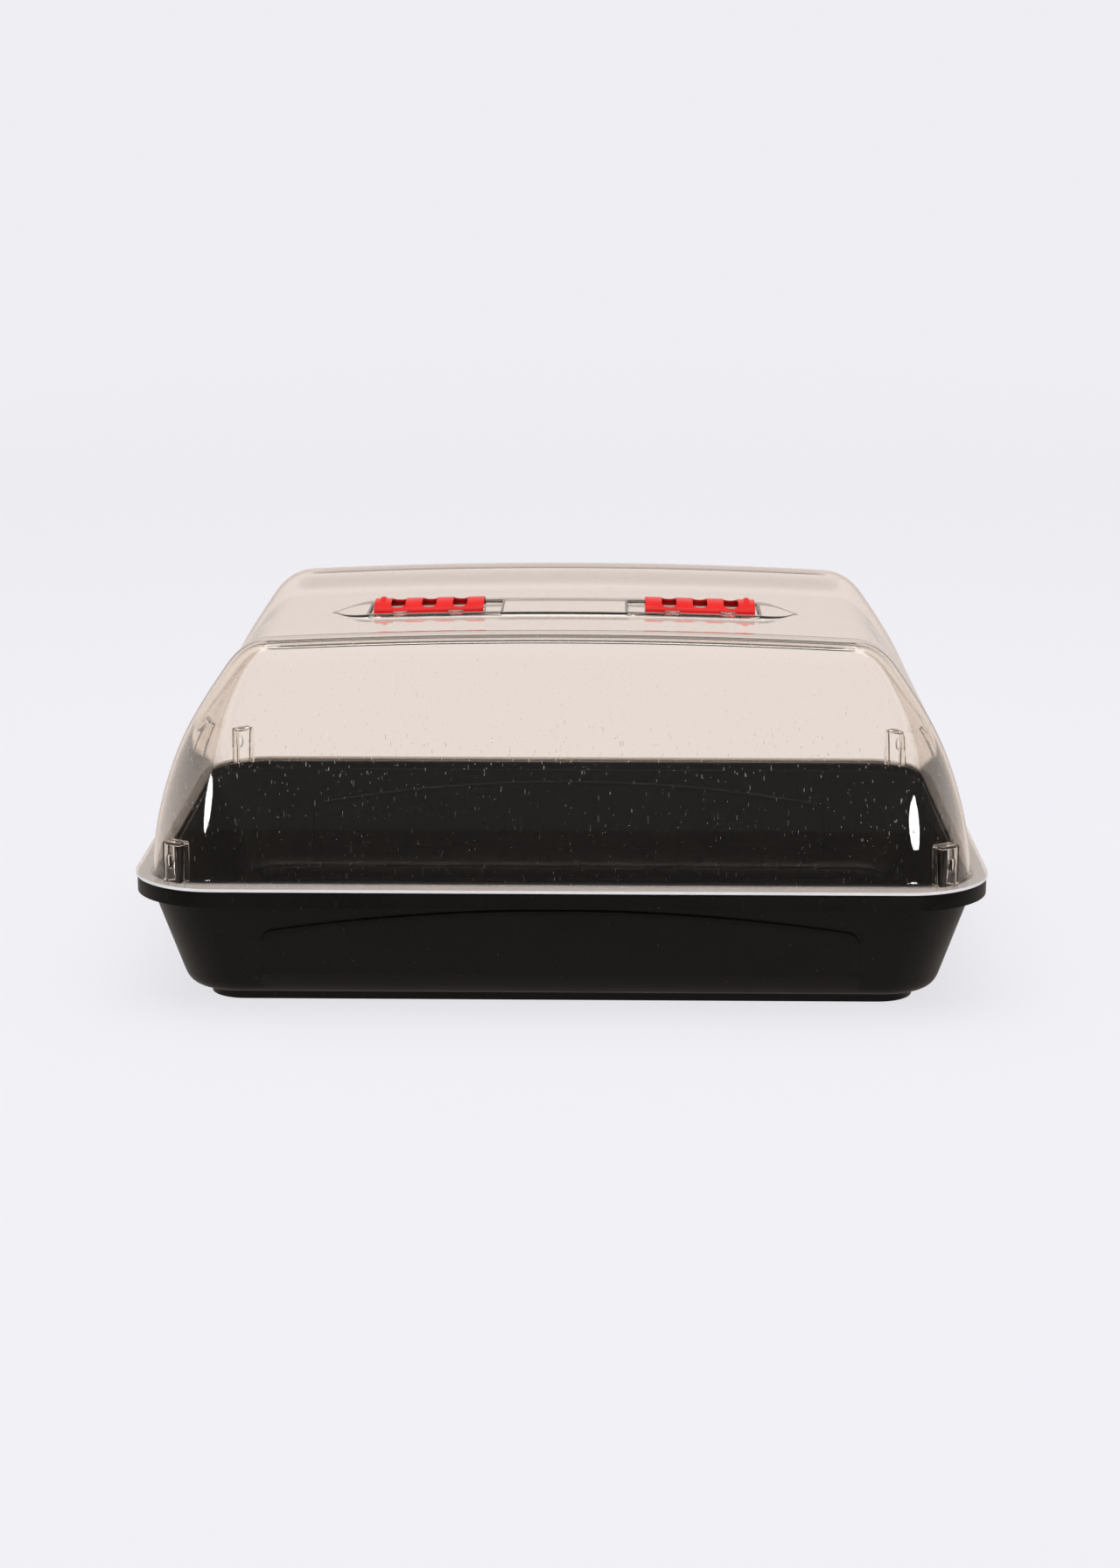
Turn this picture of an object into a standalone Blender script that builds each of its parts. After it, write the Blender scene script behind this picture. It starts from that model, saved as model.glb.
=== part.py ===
"""Humidity dome tray: a black seed tray, its clear lift-off dome and the dome's two red sliding vents.

Units are metres, +Z is up, +X runs along the long side and -Y is the front. The origin is under the middle
of the tray, on the surface that the tray stands on.
"""

import math

import bmesh
import bpy

MM = 0.001
GAP = 0.3 * MM  # left between pieces that touch
SINK = 0.5 * MM  # how far a joined shape reaches into the one that it joins
ARC_SHARE = 0.3  # the middle of a quarter arc lies this share of its radius from the corner

# Overall size
HALF_LENGTH = 295 * MM
HALF_WIDTH = 205 * MM
RIM_TOP = 88.2 * MM  # top of the tray's rim, which carries the dome
DOME_CREST = 257 * MM  # highest line of the dome, along its front and back shoulders

# Tray
TRAY_WALL = 2.2 * MM
RIM_WIDTH = 9.5 * MM  # from the rim's outer edge to the inside of the wall
RIM_ROUND = 2 * MM  # radius of the rim's two edges
SKIRT_DROP = 11 * MM
SEAT_STEP = 1.5 * MM  # the wall steps in by this much under the rim
SEAT_DEPTH = 6 * MM
RIM_INSET = 1 * MM  # the tray's rim ends this far inside the dome's flange
RIM_CORNER = 58 * MM
TRAY_DRAFT = 0.313  # inward lean of the wall for each unit of depth
LEDGE_HEIGHT = 7 * MM  # underside of the ledge that runs round the foot
LEDGE_WIDTH = (14 * MM, 8.6 * MM)  # at the ends, and at the front and back
FOOT_SLOPE = 2.5 * MM
LEDGE_ROUND = (8 * MM, 2.4 * MM)  # heights over the ledge at which the wall starts to turn in to it
LEDGE_TURN = (1 * MM, 5 * MM)  # how far in the turn's middle and its end lie
FLOOR_CORNER = 26 * MM
FLOOR_SIDE_CORNER = 38 * MM
FLOOR_RIB_PLACES = (-175 * MM, -57 * MM, 57 * MM, 175 * MM)
FLOOR_RIB_SIZE = (12 * MM, 250 * MM, 2 * MM)

# Dome
DOME_WALL = 2 * MM
FLANGE_CORNER = 60 * MM
BASE_HALF = (283 * MM, 192.4 * MM)
BASE_CORNER = 44 * MM
BASE_FILLET = 3 * MM
LENGTH_LEAN = (10.2 * MM, 51.4 * MM)  # linear and squared inward lean of the end walls
WIDTH_LEAN = (12 * MM, 14 * MM)  # the same for the front and back walls
CORNER_SHRINK = 28 * MM
LEAN_HEIGHT = 160 * MM  # height over which the leans above are given
TOP_FILLET = (16 * MM, 10 * MM)  # along X and along Y
CROWN = 5.8 * MM  # fall of the top from its middle to its ends
CROWN_HALF = 212 * MM
VALLEY_DEPTH = 9 * MM  # the middle of the top lies this far under the shoulders
VALLEY_FLAT = 84 * MM
VALLEY_SHOULDER = 145 * MM
TOP_COLUMNS = (0, 22 * MM, 127 * MM, 152 * MM, 159 * MM, 164 * MM)  # more lines of the top's grid
TOP_ROWS = (0, 56 * MM, 104 * MM, 125 * MM)
EDGE = 0.1 * MM  # tolerance for points that lie on an outline
SAG_START = 0.5  # share of the wall's height above which it follows the curved top

# Vent platform and its two wells, mirrored about X = 0
PLATFORM_HEIGHT = 2.5 * MM
PLATFORM_HALF = 31 * MM
PLATFORM_TIP = 167 * MM
PLATFORM_TAPER = 141 * MM
TIP_HALF = 1.5 * MM
WELL_START = 46.5 * MM
WELL_END = 140 * MM
WELL_HALF = 23.6 * MM
WALL_SLOPE = 0.8 * MM  # plan width of the well's and platform's side walls
TIP_SLOPE = 1 * MM  # plan width of the platform's pointed ends
SLOT_PITCH = 22.4 * MM
SLOT_WIDTH = 11 * MM
SLOT_HALF = 14.5 * MM
FIRST_SLOT = 64.4 * MM

# Vent slider
SLIDER_LENGTH = 79.4 * MM
SLIDER_START = 58.4 * MM  # its inner end when it is shut
SLIDER_HALF = 23 * MM
SLIDER_FOOT = 1.6 * MM
ARCH_HALF = 20 * MM
ARCH_HEIGHT = 8.2 * MM
ARCH_WALL = 1.8 * MM
WINDOW_SIZE = (10.6 * MM, 35 * MM)
WINDOW_CORNER = 4.6 * MM
GRIP_PLACE = 33.8 * MM  # from the slider's middle to its grip
GRIP_SIZE = (2.7 * MM, 15 * MM, 2.6 * MM)  # half thickness, half width and height over its axis
GRIP_SINK = 0.5 * MM  # how far the grip's axis lies under the arch's surface

# Retaining tabs over the slider's feet
TAB_SIZE = (11 * MM, 5 * MM, 1.4 * MM)
TAB_OFFSET = 20 * MM
TAB_REACH = 1.8 * MM
TAB_LEVEL = 2.3 * MM  # underside of the tabs over the well's floor

# Corner lugs
LUG_ANGLE = math.radians(57)
LUG_REACH = 47.5 * MM  # outer face, from the middle of the corner's arc
LUG_DEPTH = 12 * MM
LUG_WIDTH = 15 * MM
LUG_TOP = 118.5 * MM
LUG_WALL = 1.8 * MM
LUG_HOLE = (2.8 * MM, 4 * MM)  # half width and half height of its oval hole
LUG_HOLE_LEVEL = 106 * MM

FLANGE_BOTTOM = RIM_TOP + GAP
FLANGE_TOP = FLANGE_BOTTOM + DOME_WALL
CENTRE_FLOOR = DOME_CREST - VALLEY_DEPTH


def clear_scene():
    for item in list(bpy.data.objects):
        bpy.data.objects.remove(item, do_unlink=True)


def collection(name):
    made = bpy.data.collections.new(name)
    bpy.context.scene.collection.children.link(made)
    return made


def material(name, colour, roughness, alpha=1.0):
    made = bpy.data.materials.new(name)
    made.use_nodes = True
    shader = made.node_tree.nodes["Principled BSDF"]
    shader.inputs["Base Color"].default_value = (*colour, 1)
    shader.inputs["Roughness"].default_value = roughness
    shader.inputs["Metallic"].default_value = 0
    shader.inputs["Alpha"].default_value = alpha
    return made


def new_object(name, mesh_source, where, finish=None):
    """An object from a bmesh, which is freed."""
    mesh = bpy.data.meshes.new(name)
    mesh_source.to_mesh(mesh)
    mesh_source.free()
    made = bpy.data.objects.new(name, mesh)
    where.objects.link(made)
    if finish:
        mesh.materials.append(finish)
    return made


def smooth_step(low, high, value):
    t = min(max((value - low) / (high - low), 0), 1)
    return t * t * (3 - 2 * t)


def mirrored(values):
    """The values and their negatives in rising order, with zero once."""
    return sorted({-v for v in values} | set(values))


# ---- Lofted shells ----------------
# A shell is a stack of rounded rectangles that share one layout. A rectangle is (half length, half width,
# corner radius). A column holds its share of the straight length. A row holds its share of the straight
# width, and the sine and cosine of its place on the corner's arc.


def row_layout(shares, arc_steps):
    """Rows from front to back: straight ones at the given shares, then arc_steps more round each corner."""
    arcs = [math.pi / 2 * k / arc_steps for k in range(1, arc_steps + 1)]
    back = [(1.0, math.sin(a), math.cos(a)) for a in arcs]
    front = [(-1.0, -math.sin(a), math.cos(a)) for a in reversed(arcs)]
    return front + [(s, 0.0, 1.0) for s in shares] + back


def place(share, row, size):
    """The plan position of a column's share on a row of a rounded rectangle."""
    half_length, half_width, corner = size
    along, sine, cosine = row
    reach = half_length - corner + corner * cosine
    return share * reach, along * (half_width - corner) + sine * corner


def grown(size, by):
    return size[0] + by, size[1] + by, size[2] + by


def blend(first, second, share):
    return tuple(a + (b - a) * share for a, b in zip(first, second))


def ring_slots(columns, rows):
    """The (column, row) numbers round the layout's edge, in order."""
    last_column, last_row = len(columns) - 1, len(rows) - 1
    front = [(i, 0) for i in range(last_column)]
    right = [(last_column, j) for j in range(last_row)]
    back = [(i, last_row) for i in range(last_column, 0, -1)]
    left = [(0, j) for j in range(last_row, 0, -1)]
    return front + right + back + left


def loft(columns, rows, rings, height, warp=None, holes=()):
    """An open surface through the rings, closed at the last one by a grid; height gives each point's z."""
    mesh = bmesh.new()
    edge = ring_slots(columns, rows)
    previous = None
    for size, level in rings:
        points = [place(columns[i], rows[j], size) for i, j in edge]
        current = [mesh.verts.new((x, y, height(x, y, level))) for x, y in points]
        if previous:
            for k, vertex in enumerate(current):
                after = (k + 1) % len(current)
                mesh.faces.new((previous[k], previous[after], current[after], vertex))
        previous = current
    size, level = rings[-1]
    grid = dict(zip(edge, previous))
    for j in range(1, len(rows) - 1):
        for i in range(1, len(columns) - 1):
            x, y = place(columns[i], rows[j], size)
            if warp:
                x, y = warp(x, y)
            grid[i, j] = mesh.verts.new((x, y, height(x, y, level)))
    for j in range(len(rows) - 1):
        for i in range(len(columns) - 1):
            if (i, j) not in holes:
                corners = (grid[i, j], grid[i + 1, j], grid[i + 1, j + 1], grid[i, j + 1])
                mesh.faces.new(corners)
    return mesh


def thicken(item, wall):
    """Gives an open surface its wall, on the side that its faces point away from."""
    solid = item.modifiers.new("wall", "SOLIDIFY")
    solid.thickness = wall
    solid.offset = -1
    solid.use_even_offset = True
    return solid


def merge_flats(item):
    """Joins faces that lie in one plane."""
    flats = item.modifiers.new("flats", "DECIMATE")
    flats.decimate_type = "DISSOLVE"
    flats.angle_limit = math.radians(0.4)


def boolean(item, other, operation):
    """Combines item with a cutter, which stays in its own hidden collection."""
    step = item.modifiers.new(operation.lower(), "BOOLEAN")
    step.operation = operation
    step.solver = "EXACT"
    step.object = other
    other.hide_render = True
    other.display_type = "WIRE"


# ---- Tray ----------------


def tray_surface():
    """The tray's upper side, from the foot of the skirt over the rim and down to the floor."""
    rim = (HALF_LENGTH - RIM_INSET, HALF_WIDTH - RIM_INSET, RIM_CORNER)
    inside = grown(rim, -RIM_WIDTH)
    seat = RIM_TOP - SEAT_DEPTH
    seat_size = grown(inside, -SEAT_STEP)
    ledge_top = LEDGE_HEIGHT + TRAY_WALL
    depth = seat - ledge_top
    lean = depth * TRAY_DRAFT
    ledge = (seat_size[0] - lean, seat_size[1] - lean, FLOOR_SIDE_CORNER)
    foot = (ledge[0] - LEDGE_WIDTH[0], ledge[1] - LEDGE_WIDTH[1], FLOOR_CORNER)
    rings = [
        (rim, RIM_TOP - SKIRT_DROP),
        (rim, RIM_TOP - RIM_ROUND),
        (grown(rim, -ARC_SHARE * RIM_ROUND), RIM_TOP - ARC_SHARE * RIM_ROUND),
        (grown(rim, -RIM_ROUND), RIM_TOP),
        (grown(inside, RIM_ROUND), RIM_TOP),
        (grown(inside, ARC_SHARE * RIM_ROUND), RIM_TOP - ARC_SHARE * RIM_ROUND),
        (inside, RIM_TOP - RIM_ROUND),
        (grown(inside, -SEAT_STEP / 3), seat + SEAT_STEP),
        (seat_size, seat),
    ]
    for share in (0.5, 1 - LEDGE_ROUND[0] / depth):
        rings.append((blend(seat_size, ledge, share), seat - depth * share))
    rings += [
        (grown(ledge, -LEDGE_TURN[0]), ledge_top + LEDGE_ROUND[1]),
        (grown(ledge, -LEDGE_TURN[1]), ledge_top),
        (foot, ledge_top),
        (grown(foot, -FOOT_SLOPE), TRAY_WALL),
    ]
    columns = (-1.0, -0.5, 0.0, 0.5, 1.0)
    rows = row_layout((-1.0, -0.5, 0.0, 0.5, 1.0), 5)
    return loft(columns, rows, rings, lambda x, y, level: level)


def floor_ribs(where):
    """Low ribs across the floor, which lift pots clear of standing water."""
    mesh = bmesh.new()
    length, width, height = FLOOR_RIB_SIZE
    for x in FLOOR_RIB_PLACES:
        cube = bmesh.ops.create_cube(mesh, size=1)["verts"]
        bmesh.ops.scale(mesh, vec=(length, width, height + SINK), verts=cube)
        bmesh.ops.translate(mesh, vec=(x, 0, TRAY_WALL + (height - SINK) / 2), verts=cube)
    return new_object("floor_ribs", mesh, where)


def make_tray(parts, cutters):
    finish = material("black_plastic", (0.012, 0.011, 0.010), 0.42)
    tray = new_object("tray", tray_surface(), parts, finish)
    thicken(tray, TRAY_WALL)
    boolean(tray, floor_ribs(cutters), "UNION")
    merge_flats(tray)
    return tray


# ---- Dome ----------------


def dome_size(level):
    """The dome's outline at a height, before the top's curve is taken off."""
    u = (level - FLANGE_TOP) / LEAN_HEIGHT
    length = BASE_HALF[0] - LENGTH_LEAN[0] * u - LENGTH_LEAN[1] * u * u
    width = BASE_HALF[1] - WIDTH_LEAN[0] * u - WIDTH_LEAN[1] * u * u
    return length, width, BASE_CORNER - CORNER_SHRINK * u


def top_drop(x, y):
    """How far the top lies under its shoulders' middle: crowned along X, with a shallow valley along Y."""
    near = abs(x)
    if abs(y) < PLATFORM_HALF + WALL_SLOPE + EDGE and WELL_START <= near <= WELL_END:
        share = (near - WELL_START) / (WELL_END - WELL_START)
        fall = (1 - share) * WELL_START**2 + share * WELL_END**2
    else:
        fall = near * near
    valley = 1 - smooth_step(VALLEY_FLAT, VALLEY_SHOULDER, abs(y))
    return CROWN * fall / CROWN_HALF**2 + VALLEY_DEPTH * valley


def platform_half(x):
    """Half the platform's width, which narrows to a point at each end like a boat."""
    past = max(abs(x) - PLATFORM_TAPER, 0) / (PLATFORM_TIP - PLATFORM_TAPER)
    if past > 1:
        return TIP_HALF
    return TIP_HALF + (PLATFORM_HALF - TIP_HALF) * (1 - past * past)


def platform_rise(x, y):
    """The platform stands over the valley, but not inside its wells."""
    if abs(x) > PLATFORM_TIP - EDGE or abs(y) > platform_half(x) + EDGE:
        return 0.0
    in_well = WELL_START - EDGE < abs(x) < WELL_END + EDGE and abs(y) < WELL_HALF + EDGE
    return 0.0 if in_well else PLATFORM_HEIGHT


def platform_warp(x, y):
    """Draws the rows of the grid in to the platform's outline near its pointed ends."""
    share = platform_half(x) / PLATFORM_HALF
    reach = smooth_step(VALLEY_FLAT, PLATFORM_HALF + WALL_SLOPE, abs(y))
    if abs(y) <= PLATFORM_HALF + WALL_SLOPE:
        edge = min(abs(y), PLATFORM_HALF) * share + max(abs(y) - PLATFORM_HALF, 0)
        return x, math.copysign(edge, y)
    pulled = (PLATFORM_HALF + WALL_SLOPE) * (1 - share)
    return x, math.copysign(abs(y) - pulled * reach, y)


def dome_height(x, y, level):
    share = (level - FLANGE_TOP) / (DOME_CREST - FLANGE_TOP)
    return level - top_drop(x, y) * smooth_step(SAG_START, 1, share)


def dome_rings():
    """From the flange's outer edge over the wall and the top's rounded edge."""
    flange = (HALF_LENGTH, HALF_WIDTH, FLANGE_CORNER)
    base = dome_size(FLANGE_TOP + BASE_FILLET)
    rings = [
        (flange, FLANGE_TOP),
        (grown(base, BASE_FILLET), FLANGE_TOP),
        (grown(base, ARC_SHARE * BASE_FILLET), FLANGE_TOP + ARC_SHARE * BASE_FILLET),
    ]
    fillet_start = DOME_CREST - TOP_FILLET[0]
    low = FLANGE_TOP + BASE_FILLET
    for step in range(7):
        level = low + (fillet_start - low) * step / 6
        rings.append((dome_size(level), level))
    corner = dome_size(DOME_CREST)
    start = dome_size(fillet_start)
    end = (corner[0] - TOP_FILLET[0], corner[1] - TOP_FILLET[1], corner[2] - TOP_FILLET[1])
    for t in (1 / 3, 2 / 3, 1.0):
        size = blend(blend(start, corner, t), blend(corner, end, t), t)
        level = fillet_start + (DOME_CREST - fillet_start) * (2 * t - t * t)
        rings.append((size, level))
    return rings


def slot_edges():
    edges = []
    for k in range(3):
        middle = FIRST_SLOT + k * SLOT_PITCH
        edges += [middle - SLOT_WIDTH / 2, middle + SLOT_WIDTH / 2]
    return edges


def dome_grid(top):
    """The top's columns and rows as shares, with a line on each edge of the platform, wells and slots."""
    across = [*TOP_COLUMNS, WELL_START - WALL_SLOPE, WELL_START, *slot_edges(), WELL_END]
    across += [WELL_END + WALL_SLOPE, PLATFORM_TIP - 2 * EDGE, PLATFORM_TIP + TIP_SLOPE]
    along = [*TOP_ROWS, SLOT_HALF, WELL_HALF, WELL_HALF + WALL_SLOPE, PLATFORM_HALF]
    along += [PLATFORM_HALF + WALL_SLOPE, VALLEY_FLAT, VALLEY_SHOULDER]
    columns = [x / top[0] for x in mirrored(across)]
    shares = [y / (top[1] - top[2]) for y in mirrored(along)]
    return [-1.0, *columns, 1.0], row_layout([-1.0, *shares, 1.0], 3)


def slot_holes(columns, rows, top):
    """The grid's cells that are open as vent slots."""
    holes = set()
    edges = slot_edges()
    for j in range(len(rows) - 1):
        y = (place(0, rows[j], top)[1] + place(0, rows[j + 1], top)[1]) / 2
        for i in range(len(columns) - 1):
            x = abs(columns[i] + columns[i + 1]) / 2 * top[0]
            if abs(y) < SLOT_HALF and any(a < x < b for a, b in zip(edges[::2], edges[1::2])):
                holes.add((i, j))
    return holes


def dome_surface():
    rings = dome_rings()
    top = rings[-1][0]
    columns, rows = dome_grid(top)

    def height(x, y, level):
        rise = platform_rise(x, y) if level > DOME_CREST - EDGE else 0
        return dome_height(x, y, level) + rise

    return loft(columns, rows, rings, height, platform_warp, slot_holes(columns, rows, top))


def lug_frame(sign_x, sign_y):
    """The middle of a lug's outer face in plan, and its outward direction."""
    length, width, corner = dome_size(FLANGE_TOP)
    out = (sign_x * math.cos(LUG_ANGLE), sign_y * math.sin(LUG_ANGLE))
    middle = (sign_x * (length - corner), sign_y * (width - corner))
    return tuple(m + o * LUG_REACH for m, o in zip(middle, out)), out


def corner_boxes(name, where, inset, depth, low, high):
    """One upright box at each corner lug: inset from its outer faces, and depth deep."""
    mesh = bmesh.new()
    for sign_x in (-1, 1):
        for sign_y in (-1, 1):
            face, out = lug_frame(sign_x, sign_y)
            cube = bmesh.ops.create_cube(mesh, size=1)["verts"]
            for vertex in cube:
                inward = inset + (0.5 - vertex.co.x) * depth
                side = vertex.co.y * (LUG_WIDTH - 2 * inset)
                vertex.co.z = low if vertex.co.z < 0 else high
                vertex.co.x = face[0] - out[0] * inward - out[1] * side
                vertex.co.y = face[1] - out[1] * inward + out[0] * side
    bmesh.ops.recalc_face_normals(mesh, faces=mesh.faces)
    return new_object(name, mesh, where)


def lug_holes(where):
    """An oval hole through the outer face of each lug."""
    mesh = bmesh.new()
    for sign_x in (-1, 1):
        for sign_y in (-1, 1):
            face, out = lug_frame(sign_x, sign_y)
            made = bmesh.ops.create_cone(
                mesh, cap_ends=True, segments=12, radius1=LUG_HOLE[0], radius2=LUG_HOLE[0], depth=3 * LUG_WALL
            )
            for vertex in made["verts"]:
                side, rise, through = vertex.co.x, vertex.co.y * LUG_HOLE[1] / LUG_HOLE[0], vertex.co.z
                vertex.co.x = face[0] + out[0] * through - out[1] * side
                vertex.co.y = face[1] + out[1] * through + out[0] * side
                vertex.co.z = LUG_HOLE_LEVEL + rise
    bmesh.ops.recalc_face_normals(mesh, faces=mesh.faces)
    return new_object("lug_holes", mesh, where)


def tab_boxes(where):
    """Tabs on the rails of each well, which hold the slider's feet down."""
    mesh = bmesh.new()
    length, width, height = TAB_SIZE
    slope = well_slope()
    for sign_x in (-1, 1):
        for sign_y in (-1, 1):
            for offset in (-TAB_OFFSET, TAB_OFFSET):
                x = SLIDER_START + SLIDER_LENGTH / 2 + offset
                cube = bmesh.ops.create_cube(mesh, size=1)["verts"]
                floor = well_floor(x)
                for vertex in cube:
                    dx = vertex.co.x * length
                    y = WELL_HALF - TAB_REACH + (vertex.co.y + 0.5) * width
                    z = floor + TAB_LEVEL + (vertex.co.z + 0.5) * height - slope * dx
                    vertex.co = (sign_x * (x + dx), sign_y * y, z)
    bmesh.ops.recalc_face_normals(mesh, faces=mesh.faces)
    return new_object("retaining_tabs", mesh, where)


def make_dome(parts, cutters):
    finish = material("clear_plastic", (0.93, 0.92, 0.90), 0.04, 0.3)
    dome = new_object("dome", dome_surface(), parts, finish)
    thicken(dome, DOME_WALL)
    block = corner_boxes("lug_blocks", cutters, 0, LUG_DEPTH, FLANGE_TOP - SINK, LUG_TOP)
    boolean(dome, block, "UNION")
    below = FLANGE_BOTTOM - DOME_WALL
    hollow = corner_boxes("lug_hollows", cutters, LUG_WALL, LUG_DEPTH + 2 * SINK, below, LUG_TOP - LUG_WALL)
    boolean(dome, hollow, "DIFFERENCE")
    boolean(dome, lug_holes(cutters), "DIFFERENCE")
    boolean(dome, tab_boxes(cutters), "UNION")
    merge_flats(dome)
    return dome


# ---- Vent sliders ----------------


def well_floor(x):
    return CENTRE_FLOOR + VALLEY_DEPTH - top_drop(x, 0)


def well_slope():
    """Fall of the well's floor for each unit of length away from the dome's middle."""
    return (well_floor(WELL_START) - well_floor(WELL_END)) / (WELL_END - WELL_START)


def slider_section():
    """Half of the slider's cross section, from its foot's outer edge over the arch, then back under it."""
    steps = 8
    outer = [(SLIDER_HALF, 0), (SLIDER_HALF, SLIDER_FOOT)]
    inner = [(ARCH_HALF - ARCH_WALL, 0)]
    for k in range(steps + 1):
        angle = math.pi / 2 * k / steps
        rise = ARCH_HEIGHT - SLIDER_FOOT
        outer.append((ARCH_HALF * math.cos(angle), SLIDER_FOOT + rise * math.sin(angle)))
        inner.append(
            ((ARCH_HALF - ARCH_WALL) * math.cos(angle), SLIDER_FOOT + (rise - ARCH_WALL) * math.sin(angle))
        )
    return outer, inner


def slider_body():
    """The arched plate, drawn along X from its cross section."""
    outer, inner = slider_section()
    left_outer = [(-y, z) for y, z in outer[:-1]][::-1]
    left_inner = [(-y, z) for y, z in inner[:-1]]
    loop = outer + left_outer + left_inner + inner[::-1]
    mesh = bmesh.new()
    ends = []
    for x in (-SLIDER_LENGTH / 2, SLIDER_LENGTH / 2):
        ends.append([mesh.verts.new((x, y, z)) for y, z in loop])
    for k in range(len(loop)):
        after = (k + 1) % len(loop)
        mesh.faces.new((ends[0][k], ends[0][after], ends[1][after], ends[1][k]))
    mesh.faces.new(ends[0][::-1])
    mesh.faces.new(ends[1])
    bmesh.ops.recalc_face_normals(mesh, faces=mesh.faces)
    return mesh


def slider_cutter(name, where):
    """Three blocks with rounded corners that cut the slider's windows."""
    mesh = bmesh.new()
    for k in (-1, 0, 1):
        cube = bmesh.ops.create_cube(mesh, size=1)["verts"]
        bmesh.ops.scale(mesh, vec=(*WINDOW_SIZE, 3 * ARCH_HEIGHT), verts=cube)
        bmesh.ops.translate(mesh, vec=(k * SLOT_PITCH, 0, 0), verts=cube)
    upright = [e for e in mesh.edges if abs(e.verts[0].co.z - e.verts[1].co.z) > ARCH_HEIGHT]
    bmesh.ops.bevel(mesh, geom=upright, offset=WINDOW_CORNER, segments=4, profile=0.5, affect="EDGES")
    return new_object(name, mesh, where)


def arch_level(y):
    """Height of the slider's outer surface over its underside."""
    return SLIDER_FOOT + (ARCH_HEIGHT - SLIDER_FOOT) * math.sqrt(1 - (y / ARCH_HALF) ** 2)


def slider_grip(name, where, sign_x):
    """A pointed fin along the arch at the slider's outer end, for a finger."""
    mesh = bmesh.new()
    made = bmesh.ops.create_uvsphere(mesh, u_segments=12, v_segments=12, radius=1)["verts"]
    for vertex in made:
        across = vertex.co.z * GRIP_SIZE[1]
        taper = 1 - abs(vertex.co.z) ** 1.5
        rise = arch_level(across) - GRIP_SINK + vertex.co.y * GRIP_SIZE[2] * taper
        vertex.co = (sign_x * GRIP_PLACE + vertex.co.x * GRIP_SIZE[0], across, rise)
    bmesh.ops.recalc_face_normals(mesh, faces=mesh.faces)
    return new_object(name, mesh, where)


def make_slider(name, sign_x, parts, cutters):
    finish = material("red_plastic", (0.80, 0.02, 0.015), 0.35)
    slider = new_object(name, slider_body(), parts, finish)
    middle = SLIDER_START + SLIDER_LENGTH / 2
    slider.location = (sign_x * middle, 0, well_floor(middle) + GAP)
    slider.rotation_euler = (0, sign_x * math.atan(well_slope()), 0)
    for cutter, operation in (
        (slider_grip(name + "_grip", cutters, sign_x), "UNION"),
        (slider_cutter(name + "_windows", cutters), "DIFFERENCE"),
    ):
        cutter.parent = slider
        boolean(slider, cutter, operation)
    merge_flats(slider)
    return slider


def main():
    clear_scene()
    parts = collection("humidity_dome_tray")
    cutters = collection("cutters")
    make_tray(parts, cutters)
    dome = make_dome(parts, cutters)
    for name, sign_x in (("left_vent_slider", -1), ("right_vent_slider", 1)):
        slider = make_slider(name, sign_x, parts, cutters)
        slider.parent = dome
    for item in parts.objects:
        item.data.shade_smooth()
        item.data.set_sharp_from_angle(angle=math.radians(35))


main()
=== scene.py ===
"""Looks of the humidity dome tray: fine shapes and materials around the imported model's fixed frame.

Units are metres, +Z is up, +X runs along the long side and -Y is the front.
"""

import math

import bmesh
import bpy
from mathutils import Matrix, Vector


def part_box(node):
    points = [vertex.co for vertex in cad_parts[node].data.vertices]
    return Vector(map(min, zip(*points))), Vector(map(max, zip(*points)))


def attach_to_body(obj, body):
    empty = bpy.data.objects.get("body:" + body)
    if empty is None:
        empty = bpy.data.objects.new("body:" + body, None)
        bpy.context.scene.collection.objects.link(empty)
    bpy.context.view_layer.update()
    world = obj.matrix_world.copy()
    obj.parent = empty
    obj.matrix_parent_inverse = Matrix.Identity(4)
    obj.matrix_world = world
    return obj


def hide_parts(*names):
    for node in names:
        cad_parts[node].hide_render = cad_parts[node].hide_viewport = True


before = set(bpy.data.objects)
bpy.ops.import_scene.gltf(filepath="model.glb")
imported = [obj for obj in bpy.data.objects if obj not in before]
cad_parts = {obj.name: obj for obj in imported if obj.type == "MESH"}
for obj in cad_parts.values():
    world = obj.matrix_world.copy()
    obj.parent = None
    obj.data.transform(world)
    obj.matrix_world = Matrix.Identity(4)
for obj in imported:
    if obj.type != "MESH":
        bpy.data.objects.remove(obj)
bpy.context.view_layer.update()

MM = 0.001
GAP = 0.3 * MM
SINK = 0.5 * MM
LONG_STEP = 7 * MM  # widest spacing of a mesh's lines along X
SHORT_STEP = 6 * MM  # the same along Y and Z

# Overall size, from the frame
TRAY_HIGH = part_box("tray")[1]
DOME_LOW, DOME_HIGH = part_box("dome")
HALF_LENGTH = DOME_HIGH.x
HALF_WIDTH = DOME_HIGH.y
RIM_TOP = TRAY_HIGH.z
FLANGE_BOTTOM = DOME_LOW.z
DOME_CREST = 257 * MM

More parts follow.
